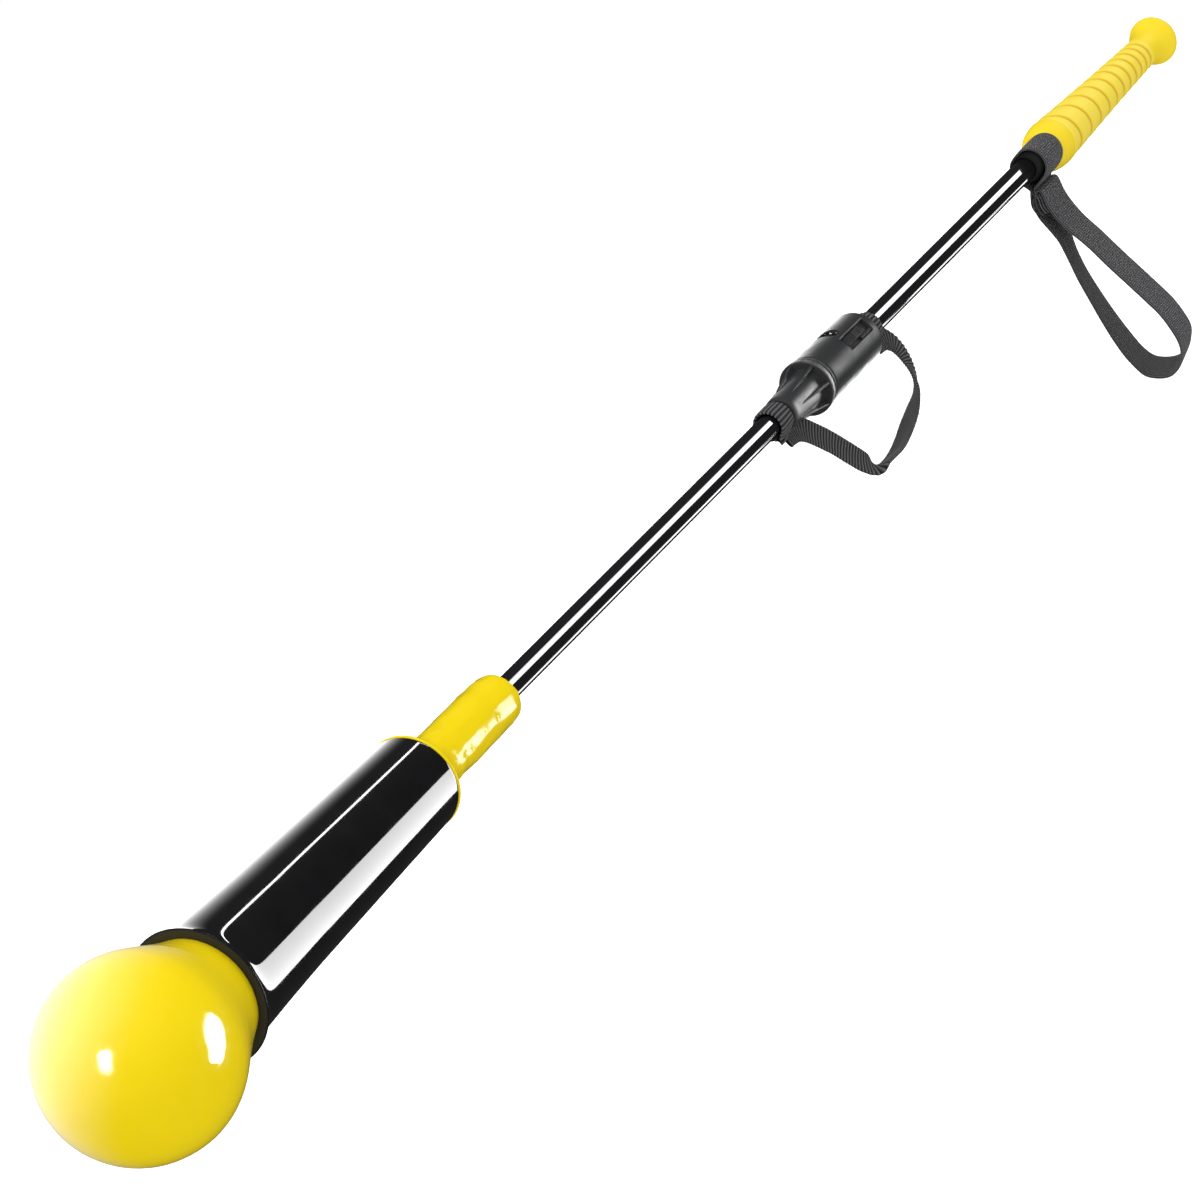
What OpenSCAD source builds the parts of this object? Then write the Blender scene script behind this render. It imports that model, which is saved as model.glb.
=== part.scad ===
// Swing trainer stick: a weighted dipped ball head and a wrapped grip on a two-piece steel shaft.
// The two shaft sections plug together in a moulded coupling, spanned by a webbing tether.
// Lengths are millimetres. X runs along the shaft from the ball to the butt, Z is up.
// Stations named *_b are measured along X from the centre of the ball.

/* [Head] */
// Radius of the ball
ball_r = 40; // [30:0.5:55]
// Radius of the neck where it enters the sleeve
neck_r = 23.4; // [18:0.1:28]
// Thickness of the dipped skin
skin_t = 2.6; // [1:0.1:5]
// Radius of the steel weight in the core
weight_r = 14; // [8:0.5:18]
// Front of the sleeve
mouth_b = 44; // [40:0.5:60]
// Rear of the sleeve
sleeve_end_b = 221; // [150:1:260]
// Outer radius of the sleeve at its mouth
mouth_r = 29.7; // [26:0.1:34]
// Outer radius of the sleeve at its rear
sleeve_end_r = 20.6; // [18:0.1:24]
// Wall of the sleeve
sleeve_wall = 1.6; // [0.8:0.1:3]
// Radius of the barrel inside the sleeve
barrel_r = 17.4; // [15:0.1:18]
// Radius of the visible tail
tail_r = 12.1; // [9:0.1:16]
// End of the tail
tail_end_b = 299.5; // [260:0.5:330]

/* [Shafts] */
// Outer radius of the lower shaft
lower_r = 5.5; // [4:0.1:8]
// Inner radius of the lower shaft
lower_bore_r = 4.3; // [3:0.1:7]
// End of the lower shaft, inside the cone nut
lower_end_b = 618; // [500:1:700]
// Outer radius of the upper shaft
upper_r = 5.8; // [4:0.1:8]
// Inner radius of the upper shaft, also the socket for the spigot
upper_bore_r = 4.9; // [3:0.1:7]
// Start of the upper shaft, inside the coupling
upper_start_b = 634; // [500:1:700]
// End of the upper shaft, inside the butt knob
upper_end_b = 1108; // [900:1:1200]

/* [Coupling] */
// Small end of the ribbed cone
cone_b = 598; // [560:1:620]
// Face where the two halves meet
joint_b = 633.35; // [620:0.05:640]
// Radius of the two flange discs
flange_r = 13.8; // [12:0.1:18]
// Radius of the coupling cylinder
body_r = 13.1; // [11.5:0.1:13.2]
// Rear face of the coupling cylinder
body_end_b = 694; // [680:1:720]
// Number of ribs on the cone
rib_n = 7; // [3:1:12]
// Thickness of one rib
rib_t = 1.5; // [0.8:0.1:3]
// Tip of the spigot
spigot_tip_b = 662; // [640:1:670]
// Radius of the spigot in the socket
spigot_r = 4.85; // [3:0.01:6]
// Direction of the window and slider, turned about X from straight up
window_turn = 75; // [0:1:360]
// Direction of the body screw, turned about X from straight up
screw_turn = 20; // [0:1:360]
// Travel of the strength slider
slider_travel = 6; // [4:1:8]

/* [Grip] */
// Front of the grip collar
grip_b = 946.2; // [930:0.1:960]
// Front of the wrap
wrap_b = 962; // [950:1:980]
// Rear of the wrap
wrap_end_b = 1100; // [1050:1:1120]
// Wrap radius at the collar
wrap_front_r = 13.2; // [11:0.1:16]
// Wrap radius at the knob
wrap_rear_r = 8.7; // [8:0.1:12]
// Number of turns of the wrap
wrap_turns = 10; // [4:1:16]
// Largest radius of the butt knob
knob_r = 13.4; // [11:0.1:18]
// Rear face of the butt knob
knob_end_b = 1127; // [1110:1:1140]
// Radius of the vent hole in the knob
vent_r = 2; // [1:0.1:4]

/* [Straps] */
// Width of the tether webbing
tether_w = 13; // [10:0.5:20]
// Thickness of the tether webbing
tether_t = 1.6; // [0.8:0.1:3]
// Width of the wrist band
wrist_w = 25; // [15:0.5:30]
// Thickness of the wrist band
wrist_t = 1.8; // [0.8:0.1:3]

/* [Hidden] */
$fn = 64;
origin_b = 1040;
gap = 0.3;
slip = 0.05;
ring_b = 920.6;
loop_mid_b = ring_b + wrist_w / 2;
swing_z = -18.6;
fold_r = 3.9;
rib_turn = 105;
window_b = 662;
window_end_b = 688;
window_w = 7.2;
// How far the window floor, the slider and the screw seat stand out from the shaft tube
deck = body_r - 10.9;
window_floor = 8.25 + deck;
stem_b = 670;
stem_r = 1.35;
screw_b = 667;

// A cylinder along X between two stations.
module rod(b0, b1, r) {
  translate([b0 - origin_b, 0, 0]) rotate([0, 90, 0]) cylinder(h = b1 - b0, r = r);
}

// A body of revolution about X; points are [radius, station].
module turned(points) {
  translate([-origin_b, 0, 0]) rotate([0, 90, 0]) rotate_extrude() polygon(points);
}

// Places its child at a station, turned about X, with its Z pointing radially outwards.
module radial(b, turn) {
  translate([b - origin_b, 0, 0]) rotate([turn, 0, 0]) children();
}

function bez(a, b, c, d, t) = pow(1 - t, 3) * a + 3 * pow(1 - t, 2) * t * b + 3 * (1 - t) * t * t * c + pow(t, 3) * d;

// Ball and neck outline from the front pole to the end of the neck.
function ball_line(r, n) = concat(
  [for (i = [0 : 21]) [r * sin(i * 5), -r * cos(i * 5)]],
  [for (i = [1 : 10]) [
    bez(r * sin(105), r * sin(105) - 3.1, n + 1.1, n, i / 10),
    bez(-r * cos(105), -r * cos(105) + 11.6, 36, 50, i / 10)]],
  [[n - 0.1, 54]]);

function sleeve_line(d) = [[mouth_r - d * 0.5, mouth_b], [mouth_r - 0.4 - d, mouth_b + 2],
  [mouth_r - 2 - d, 50], [26.4 - d, 56], [25.4 - d, 64], [24.7 - d, 74], [24.1 - d, 90],
  [23.5 - d, 107], [22.6 - d, 142], [21.8 - d, 172], [20.8 - d, 212], [sleeve_end_r - d, sleeve_end_b]];

function back(v) = [for (i = [len(v) - 1 : -1 : 0]) v[i]];

// Smooth curve through points, four spans per interval.
function smooth_at(p, i, t) =
  let (a = p[max(i - 1, 0)], b = p[i], c = p[i + 1], d = p[min(i + 2, len(p) - 1)])
  0.5 * (2 * b + (c - a) * t + (2 * a - 5 * b + 4 * c - d) * t * t + (3 * b - a - 3 * c + d) * t * t * t);
function smooth_line(p) = concat([for (i = [0 : len(p) - 2]) for (k = [0 : 3]) smooth_at(p, i, k / 4)], [p[len(p) - 1]]);
function side(p, i) = let (v = p[min(i + 1, len(p) - 1)] - p[max(i - 1, 0)], m = norm(v)) [-v[1] / m, v[0] / m];
function band(p, t) = concat([for (i = [0 : len(p) - 1]) p[i] + side(p, i) * t / 2],
  [for (i = [len(p) - 1 : -1 : 0]) p[i] - side(p, i) * t / 2]);

// ---- head and lower section ----

module head_skin() {
  color([0.96, 0.85, 0.02])
  difference() {
    turned(concat(ball_line(ball_r, neck_r), [[0, 54]]));
    turned(concat(ball_line(ball_r - skin_t, neck_r - skin_t), [[neck_r - skin_t, 55], [0, 55]]));
  }
}

module head_core() {
  color([0.16, 0.16, 0.17])
  difference() {
    turned(concat(ball_line(ball_r - skin_t - 0.2, neck_r - skin_t - 0.2), [[0, 54]]));
    rod(-16.1, 60, weight_r + 0.2);
  }
}

module head_weight() {
  color([0.55, 0.56, 0.58])
  difference() {
    rod(-16, 18, weight_r);
    rod(6, 19, 3.05);
  }
}

module weight_screw() {
  color([0.3, 0.3, 0.32])
  difference() {
    union() {
      rod(7, 34, 3);
      rod(34, 39, 5);
    }
    translate([36 - origin_b, 0, 0]) rotate([0, 90, 0]) cylinder(h = 4, r = 2.9, $fn = 6);
  }
}

module mouth_ring() {
  color([0.06, 0.06, 0.065])
  turned([[24.8, mouth_b + 0.4], [28.3, mouth_b + 0.4], [27.4, 46], [25.8, 50], [24.8, 50]]);
}

module head_sleeve() {
  color([0.01, 0.01, 0.012])
  turned(concat(sleeve_line(0), back(sleeve_line(sleeve_wall))));
}

module head_barrel() {
  color([0.96, 0.85, 0.02])
  difference() {
    union() {
      turned([[0, 18.2], [weight_r + 0.1, 18.2], [weight_r + 0.1, 54.5], [barrel_r, 54.5],
        [barrel_r, 205], [18.9, 207], [18.8, sleeve_end_b + 0.1], [sleeve_end_r - 0.3, sleeve_end_b + 0.2],
        [sleeve_end_r + 0.3, sleeve_end_b + 0.9], [sleeve_end_r, sleeve_end_b + 1.8],
        [17.6, sleeve_end_b + 4], [15.2, sleeve_end_b + 7], [13.5, sleeve_end_b + 11],
        [12.6, sleeve_end_b + 16], [tail_r + 0.1, sleeve_end_b + 23], [tail_r, 250],
        [tail_r, tail_end_b - 5], [tail_r - 0.5, tail_end_b - 2.6], [tail_r - 1.6, tail_end_b - 0.8],
        [tail_r - 3.4, tail_end_b], [0, tail_end_b]]);
      turned([[barrel_r - 1, 66], [23.1, 66], [23, 72], [barrel_r - 1, 72]]);
    }
    rod(18, 35, 3.05);
    rod(34, tail_end_b + 1, lower_r + slip);
    radial(130, 0) translate([0, 0, -20]) cylinder(h = 40, r = 1.55);
  }
}

module lower_shaft() {
  color([0.01, 0.01, 0.012])
  difference() {
    rod(41, lower_end_b, lower_r);
    rod(40, lower_end_b + 1, lower_bore_r);
    radial(130, 0) translate([0, 0, -20]) cylinder(h = 40, r = 1.55);
  }
}

module shaft_pin() {
  color([0.6, 0.6, 0.62])
  radial(130, 0) translate([0, 0, -17]) cylinder(h = 34, r = 1.5);
}

module cone_rib(turn) {
  radial(0, turn) rotate([90, 0, 0]) translate([0, 0, -rib_t / 2]) linear_extrude(rib_t)
    polygon([[cone_b + 9, 8], [cone_b + 9, 8.9], [cone_b + 22, 11.5], [cone_b + 32, 13.3], [cone_b + 32, 8]]);
}

module cone_nut() {
  color([0.09, 0.09, 0.095])
  difference() {
    union() {
      turned([[0, cone_b], [7.7, cone_b], [8.1, cone_b + 0.8], [8.3, cone_b + 4], [8.9, cone_b + 14],
        [9.4, cone_b + 24], [9.7, cone_b + 31.4], [13.1, cone_b + 31.7], [flange_r, cone_b + 32.6],
        [flange_r, joint_b - 0.8], [flange_r - 0.5, joint_b - 0.15], [0, joint_b - 0.15]]);
      for (i = [0 : rib_n - 1]) cone_rib(rib_turn + i * 360 / rib_n);
    }
    rod(cone_b - 1, 622.1, lower_r + slip);
    rod(622, joint_b + 1, spigot_r + 0.1);
  }
}

module spigot() {
  color([0.6, 0.61, 0.63])
  difference() {
    turned([[0, 580], [lower_bore_r - slip, 580], [lower_bore_r - slip, lower_end_b + 0.1],
      [lower_r, lower_end_b + 0.1], [lower_r, 622], [spigot_r, 622], [spigot_r, 640.9],
      [3.9, 640.9], [3.9, 642.7], [spigot_r, 642.7], [spigot_r, spigot_tip_b - 0.6],
      [spigot_r - 0.6, spigot_tip_b], [0, spigot_tip_b]]);
    rod(spigot_tip_b - 3.1, spigot_tip_b + 1, 3.85);
  }
}

module spigot_ring() {
  color([0.03, 0.03, 0.03])
  translate([641.8 - origin_b, 0, 0]) rotate([0, 90, 0]) rotate_extrude() translate([4.4, 0]) circle(r = 0.42, $fn = 24);
}

module spigot_magnet() {
  color([0.7, 0.7, 0.72])
  rod(spigot_tip_b - 3, spigot_tip_b - 0.05, 3.8);
}

// ---- coupling ----

module body_blank() {
  turned([[0, joint_b + 0.15], [flange_r - 0.9, joint_b + 0.15], [flange_r - 0.3, joint_b + 0.8],
      [flange_r - 0.3, joint_b + 2.3], [body_r - 0.4, joint_b + 2.9], [body_r - 0.4, joint_b + 3.4],
      [body_r, joint_b + 4], [body_r, body_end_b - 1.8],
      [body_r - 0.5, body_end_b - 0.6], [body_r - 1.6, body_end_b], [0, body_end_b]]);
  radial(0, window_turn) translate([window_b - 0.6, window_w / 2, 9 + deck]) cube([window_end_b - window_b + 1, 0.7, 1.75]);
}

module coupling_body() {
  color([0.09, 0.09, 0.095])
  difference() {
    body_blank();
    rod(joint_b - 1, body_end_b + 1, upper_r + slip);
    radial(window_b, window_turn) translate([0, -window_w / 2, window_floor]) cube([window_end_b - window_b, window_w, 6]);
    radial(stem_b - 2, window_turn) translate([0, -0.2, 3]) cube([slider_travel + 4, 3.2, 8]);
    radial(screw_b, screw_turn) {
      translate([0, -1.5, 8.9 + deck]) cylinder(h = 4, r = 3.8);
      translate([0, 1.5, 8.9 + deck]) cylinder(h = 4, r = 3.8);
      translate([-3.8, -1.5, 8.9 + deck]) cube([7.6, 3, 4]);
      cylinder(h = 10 + deck, r = 1.35);
    }
  }
}

module body_screw() {
  color([0.5, 0.5, 0.52])
  radial(screw_b, screw_turn) difference() {
    union() {
      translate([0, 0, 4.98]) cylinder(h = 4.5 + deck, r = 1.3);
      translate([0, 0, 8.95 + deck]) cylinder(h = 1.1, r = 2.9);
      translate([0, 0, 10.05 + deck]) cylinder(h = 0.6, r1 = 2.9, r2 = 1.9);
    }
    translate([0, 0, 9.7 + deck]) cylinder(h = 2, r = 1.15, $fn = 6);
  }
}

module slider_plate() {
  color([0.02, 0.02, 0.02])
  radial(0, window_turn) difference() {
    translate([window_b + 0.1, -window_w / 2 + 0.1, window_floor + 0.02]) cube([window_end_b - window_b - 0.2, window_w - 0.2, 0.6]);
    translate([stem_b - 1.8, -0.1, 8 + deck]) cube([slider_travel + 3.6, 3, 2]);
  }
  color([0.02, 0.02, 0.02])
  radial(0, window_turn) translate([676, 0.5 - window_w / 2, window_floor + 0.5]) cube([window_end_b - 676.2, 1.5, 1.5]);
}

module slider_tab() {
  color([0.1, 0.1, 0.105])
  radial(stem_b, window_turn) difference() {
    union() {
      translate([0, 1.4, 1]) cylinder(h = 8.2 + deck, r = stem_r);
      translate([-6.7, 2.3 - window_w / 2, 8.95 + deck]) cube([17.6, window_w - 2.6, 1.6]);
      for (i = [0 : 3]) translate([-5.4 + i * 1.8, 2.3 - window_w / 2, 10.5 + deck]) cube([0.9, window_w - 2.6, 0.4]);
    }
    translate([8.6, 0.8, 9.6 + deck]) cylinder(h = 3, r = 0.9);
  }
}

module slider_carrier() {
  color([0.12, 0.12, 0.12])
  difference() {
    rod(663, 677, 4.84);
    rod(662, 666.1, 3.65);
    radial(stem_b, window_turn) translate([0, 1.4, 0.9]) cylinder(h = 5, r = stem_r + slip);
  }
}

module carrier_magnet() {
  color([0.7, 0.7, 0.72])
  rod(663.05, 666, 3.6);
}

// ---- upper section and grip ----

module upper_shaft() {
  color([0.01, 0.01, 0.012])
  difference() {
    rod(upper_start_b, upper_end_b, upper_r);
    rod(upper_start_b - 1, upper_end_b + 1, upper_bore_r);
    radial(stem_b - 2, window_turn) translate([0, -0.2, 3]) cube([slider_travel + 4, 3.2, 4]);
    radial(screw_b, screw_turn) cylinder(h = 8, r = 1.35);
  }
}

module grip_core() {
  color([0.2, 0.2, 0.2])
  difference() {
    turned([[0, wrap_b - 6], [9.4, wrap_b - 6], [10.9, wrap_b + 0.2], [wrap_front_r - 2, wrap_b + 1],
      [wrap_rear_r - 1.6, wrap_end_b - 0.2], [0, wrap_end_b - 0.2]]);
    rod(wrap_b - 10, wrap_end_b + 5, upper_r + slip);
  }
}

module grip_collar() {
  color([0.95, 0.82, 0.03])
  difference() {
    turned([[8.3, grip_b], [9.6, grip_b + 0.3], [11.2, grip_b + 2.6], [12.5, grip_b + 6.4],
      [13.15, grip_b + 10.4], [13.3, wrap_b - 0.1], [8.3, wrap_b - 0.1]]);
    turned([[0, grip_b - 2], [8.31, grip_b - 2], [8.31, wrap_b - 6.3], [9.7, wrap_b - 6.3], [11.2, wrap_b], [11.2, wrap_b + 1], [0, wrap_b + 1]]);
  }
}

wrap_pitch = (wrap_end_b - wrap_b) / wrap_turns;
function wrap_r(u) = wrap_front_r - (wrap_front_r - wrap_rear_r) * (1.25 * u - 0.25 * u * u);

module grip_wrap() {
  color([0.97, 0.87, 0.22])
  turned(concat(
    [for (i = [0 : wrap_turns - 1]) each [
      [wrap_r(i / wrap_turns) - 0.45, wrap_b + i * wrap_pitch],
      [wrap_r(i / wrap_turns) + 0.1, wrap_b + i * wrap_pitch + 1.2],
      [wrap_r((i + 1) / wrap_turns) + 0.1, wrap_b + (i + 1) * wrap_pitch - 1.2]]],
    [[wrap_rear_r - 0.4, wrap_end_b], [wrap_rear_r - 1.4, wrap_end_b], [wrap_front_r - 1.75, wrap_b + 1], [11.2, wrap_b]]));
}

module grip_knob() {
  color([0.96, 0.84, 0.05])
  difference() {
    turned([[0, wrap_end_b + 0.1], [wrap_rear_r, wrap_end_b + 0.1], [8.8, 1103], [9.2, 1107], [9.9, 1111], [11, 1115],
      [12.3, 1119], [13.1, 1121.6], [knob_r, 1123.4], [knob_r - 0.15, 1125.2], [knob_r - 0.9, 1126.5],
      [knob_r - 2, knob_end_b], [0, knob_end_b]]);
    rod(wrap_end_b - 1, upper_end_b + 0.2, upper_r + slip);
    rod(upper_end_b - 1, knob_end_b + 1, vent_r);
  }
}

module butt_plug() {
  color([0.1, 0.1, 0.1])
  rod(upper_end_b - 12, upper_end_b - 0.5, upper_bore_r - slip);
}

// ---- straps ----

module tether_ring_lower() {
  color([0.07, 0.07, 0.075])
  difference() {
    rod(cone_b - 1 - tether_w, cone_b - 1, 7.9);
    rod(cone_b - 20, cone_b + 1, lower_r + 0.15);
  }
}

module tether_ring_upper() {
  color([0.07, 0.07, 0.075])
  difference() {
    rod(body_end_b + 0.8, body_end_b + 0.8 + tether_w, 7.9);
    rod(body_end_b - 1, body_end_b + 20, upper_r + 0.15);
  }
}

tether_path = [[587, -9], [598, -9.6], [606, -13.5], [615, -22], [623, -35], [630, -45.5], [640, -50.5],
  [654, -52.5], [668, -52.6], [683, -49.5], [696, -43], [706, -33], [711, -22], [710.5, -14], [706, -9.8], [698, -9]];

module tether_web() {
  color([0.07, 0.07, 0.075])
  translate([-origin_b, tether_w / 2, 0]) rotate([90, 0, 0]) linear_extrude(tether_w) polygon(band(smooth_line(tether_path), tether_t));
}

module strap_ring() {
  color([0.12, 0.12, 0.125])
  difference() {
    rod(ring_b, ring_b + wrist_w, 8.2);
    rod(ring_b - 1, ring_b + wrist_w + 1, upper_r + 0.08);
  }
}

module strap_knot() {
  color([0.12, 0.12, 0.125])
  difference() {
    union() {
      translate([ring_b + gap - origin_b, 0, swing_z]) rotate([0, 90, 0]) cylinder(h = wrist_w - 2 * gap, r = fold_r);
      translate([ring_b + gap - origin_b, -2.4, swing_z]) cube([wrist_w - 2 * gap, 4.8, -swing_z - 4]);
    }
    rod(ring_b - 1, ring_b + wrist_w + 1, 8.35);
  }
}

loop_line = [[1.2, swing_z - 4.4], [3.2, -28], [6.8, -34.5], [9.9, -42], [12.6, -51], [14.9, -62], [16.4, -75],
  [17.6, -90], [17.9, -103], [17.2, -113], [14.4, -121.5], [8.6, -127.6], [1.6, -129.7], [-4.8, -127.8],
  [-9.8, -122.8], [-12.8, -116.5], [-13.7, -108], [-13.3, -99], [-11.4, -89], [-8.6, -77], [-5.6, -64],
  [-2.9, -51], [-1.2, -40], [-0.9, -31], [-1.2, swing_z - 4.4]];

module wrist_loop() {
  color([0.12, 0.12, 0.125])
  translate([loop_mid_b - origin_b, 0, 0]) rotate([90, 0, 90])
    translate([0, 0, -wrist_w / 2]) linear_extrude(wrist_w)
    polygon(band(smooth_line(loop_line), wrist_t));
}

head_skin();
head_core();
head_weight();
weight_screw();
mouth_ring();
head_sleeve();
head_barrel();
lower_shaft();
shaft_pin();
cone_nut();
spigot();
spigot_ring();
spigot_magnet();
coupling_body();
body_screw();
slider_plate();
slider_tab();
slider_carrier();
carrier_magnet();
upper_shaft();
grip_core();
grip_collar();
grip_wrap();
grip_knob();
butt_plug();
tether_ring_lower();
tether_ring_upper();
tether_web();
strap_ring();
strap_knot();
wrist_loop();
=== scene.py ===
"""Looks of the swing trainer stick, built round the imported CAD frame.

The frame is in metres: X runs along the shaft from the ball to the butt, Z is up, and the straps
hang towards -Z. Profiles are written in millimetres as (station, radius), with stations measured
along X from the centre of the ball, and at() and MM turn them into the frame's metres.
"""

import math

import bpy
from mathutils import Matrix, Vector, noise


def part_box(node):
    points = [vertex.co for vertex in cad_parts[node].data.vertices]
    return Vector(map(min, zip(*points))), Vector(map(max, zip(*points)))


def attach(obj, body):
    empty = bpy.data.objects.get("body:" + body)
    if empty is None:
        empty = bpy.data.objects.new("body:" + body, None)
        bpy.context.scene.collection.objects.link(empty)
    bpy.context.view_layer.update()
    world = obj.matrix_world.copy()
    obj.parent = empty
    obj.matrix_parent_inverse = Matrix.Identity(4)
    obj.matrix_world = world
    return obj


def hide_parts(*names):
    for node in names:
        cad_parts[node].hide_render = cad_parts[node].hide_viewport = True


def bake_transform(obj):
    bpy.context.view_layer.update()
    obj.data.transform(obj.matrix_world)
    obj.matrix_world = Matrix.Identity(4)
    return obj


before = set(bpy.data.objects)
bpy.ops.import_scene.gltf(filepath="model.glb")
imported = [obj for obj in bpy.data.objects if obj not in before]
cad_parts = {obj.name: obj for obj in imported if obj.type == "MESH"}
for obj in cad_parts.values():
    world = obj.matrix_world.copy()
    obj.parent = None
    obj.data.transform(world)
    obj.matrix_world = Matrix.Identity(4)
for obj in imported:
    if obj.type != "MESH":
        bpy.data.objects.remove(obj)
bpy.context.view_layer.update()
MM = 0.001
BALL_R = 40.0
BALL_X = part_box("head_skin")[0].x + BALL_R * MM
FLOOR_GAP = 0.008
FLOOR_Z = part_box("wrist_loop")[0].z - FLOOR_GAP


def at(station):
    """The frame's X, in metres, of a station in millimetres from the centre of the ball."""
    return BALL_X + station * MM


def mix(a, b, t):
    return a + (b - a) * t


def smoothstep(low, high, value):
    t = min(1.0, max(0.0, (value - low) / (high - low)))
    return t * t * (3 - 2 * t)


# ---------------------------------------------------------------- camera

VIEW_TO_AXIS = math.radians(36)  # between the line of sight and the shaft
VIEW_TURN = math.radians(-10)  # of the line of sight about the shaft
IMAGE_ROLL = math.radians(45.14)  # of the shaft above the picture's lower edge
VIEW_STATION = 398.2  # where the line of sight meets the shaft
VIEW_DISTANCE = 2.1239
AXIS_OFFSET = 0.00127  # of the shaft above the middle of the picture
LENS, SENSOR = 150, 36  # millimetres

to_camera = Vector((
    -math.cos(VIEW_TO_AXIS),
    -math.sin(VIEW_TO_AXIS) * math.cos(VIEW_TURN),
    -math.sin(VIEW_TO_AXIS) * math.sin(VIEW_TURN)))
along_image = (Vector((1, 0, 0)) - to_camera * to_camera.x).normalized()
across_image = to_camera.cross(along_image)
image_right = along_image * math.cos(IMAGE_ROLL) - across_image * math.sin(IMAGE_ROLL)
image_up = along_image * math.sin(IMAGE_ROLL) + across_image * math.cos(IMAGE_ROLL)


def make_camera():
    data = bpy.data.cameras.new("camera")
    data.lens, data.sensor_width = LENS, SENSOR
    data.clip_start, data.clip_end = 0.05, 50
    camera = bpy.data.objects.new("camera", data)
    bpy.context.scene.collection.objects.link(camera)
    place = Vector((at(VIEW_STATION), 0, 0)) + to_camera * VIEW_DISTANCE - across_image * AXIS_OFFSET
    turn = Matrix((image_right, image_up, to_camera)).transposed()
    camera.matrix_world = Matrix.Translation(place) @ turn.to_4x4()
    bpy.context.scene.camera = camera


make_camera()
bpy.context.scene.view_settings.view_transform = "Standard"


# ---------------------------------------------------------------- mesh helpers

def mesh_object(name, vertices, faces, sharp=40, uv=None, values=None):
    """An object from plain lists. uv holds one pair for each vertex, values one number each."""
    mesh = bpy.data.meshes.new(name)
    mesh.from_pydata([tuple(v) for v in vertices], [], faces)
    if uv:
        layer = mesh.uv_layers.new(name="cloth")
        for loop in mesh.loops:
            layer.data[loop.index].uv = uv[loop.vertex_index]
    if values:
        mesh.attributes.new("seam", "FLOAT", "POINT").data.foreach_set("value", values)
    mesh.validate()
    mesh.shade_smooth()
    if sharp:
        mesh.set_sharp_from_angle(angle=math.radians(sharp))
    made = bpy.data.objects.new(name, mesh)
    bpy.context.scene.collection.objects.link(made)
    return made


def grid_faces(rows, columns, wrap_rows=False):
    """Quads over rings of vertices stored row by row, each ring closed on itself."""
    faces = []
    for i in range(rows if wrap_rows else rows - 1):
        for j in range(columns):
            a, b = i * columns, (i + 1) % rows * columns
            k = (j + 1) % columns
            faces.append((a + j, a + k, b + k, b + j))
    return faces


def capped_faces(rows, columns):
    """The faces of a closed tube of rings, with a face over each end."""
    last = columns * (rows - 1)
    return grid_faces(rows, columns) + [tuple(range(columns))[::-1], tuple(range(last, last + columns))]


def circle(steps):
    """Points of the unit circle."""
    return [(math.cos(math.tau * k / steps), math.sin(math.tau * k / steps)) for k in range(steps)]


def rounded(points, closed=False, steps=5):
    """A profile whose corners with a third number are rounded to about that radius."""
    out = []
    for i, point in enumerate(points):
        here = Vector(point[:2])
        reach = point[2] if len(point) > 2 else 0
        if not reach or (not closed and i in (0, len(points) - 1)):
            out.append(here)
            continue
        before = Vector(points[i - 1][:2]) - here
        after = Vector(points[(i + 1) % len(points)][:2]) - here
        a = here + before.normalized() * min(reach, before.length * 0.49)
        c = here + after.normalized() * min(reach, after.length * 0.49)
        for k in range(steps + 1):
            t = k / steps
            out.append(a * (1 - t) ** 2 + here * 2 * t * (1 - t) + c * t * t)
    return out


def curve_through(points, steps=6):
    """A Catmull-Rom curve through points of any dimension."""
    points = [Vector(p) for p in points]
    out = []
    for i in range(len(points) - 1):
        a, b = points[max(i - 1, 0)], points[i]
        c, d = points[i + 1], points[min(i + 2, len(points) - 1)]
        for k in range(steps):
            t = k / steps
            out.append(0.5 * (2 * b + (c - a) * t + (2 * a - 5 * b + 4 * c - d) * t * t
                              + (3 * b - a - 3 * c + d) * t ** 3))
    return out + [points[-1]]


def ring_point(station, radius, angle):
    return Vector((at(station), radius * MM * math.cos(angle), radius * MM * math.sin(angle)))


def lathe(name, profile, segments=192, closed=True, sharp=40, shape=None):
    """Turns a profile of (station, radius) about the shaft's axis.

    A closed profile makes a ring, and an open one starts and ends on the axis. shape(station,
    radius, angle) may return another radius.
    """
    vertices, rows = [], []
    for station, radius in [tuple(p[:2]) for p in profile]:
        if radius < 1e-6:
            rows.append([len(vertices)])
            vertices.append(Vector((at(station), 0, 0)))
            continue
        rows.append(list(range(len(vertices), len(vertices) + segments)))
        for j in range(segments):
            angle = math.tau * j / segments
            r = shape(station, radius, angle) if shape else radius
            vertices.append(ring_point(station, r, angle))
    faces = []
    for i in range(len(rows) if closed else len(rows) - 1):
        a, b = rows[i], rows[(i + 1) % len(rows)]
        for j in range(segments):
            k = (j + 1) % segments
            if len(a) == 1:
                faces.append((a[0], b[k], b[j]))
            elif len(b) == 1:
                faces.append((a[j], a[k], b[0]))
            else:
                faces.append((a[j], a[k], b[k], b[j]))
    return mesh_object(name, vertices, faces, sharp)


def flip_if_inside_out(made):
    """Turns a closed mesh's faces outwards if its volume comes out negative."""
    mesh, volume = made.data, 0.0
    for polygon in mesh.polygons:
        corners = [mesh.vertices[i].co for i in polygon.vertices]
        for a, b in zip(corners[1:], corners[2:]):
            volume += corners[0].dot(a.cross(b))
    if volume < 0:
        mesh.flip_normals()
    return made


def stand_for(made, body, slot, material, *nodes):
    """Finishes a piece: what it rides on, the CAD nodes it replaces and its material; its slot is not used.
    """
    flip_if_inside_out(made)
    if body:
        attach(made, body)
    if nodes:
        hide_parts(*nodes)
    made.data.materials.clear()
    made.data.materials.append(material)
    return made


# ---------------------------------------------------------------- material helpers

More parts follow.
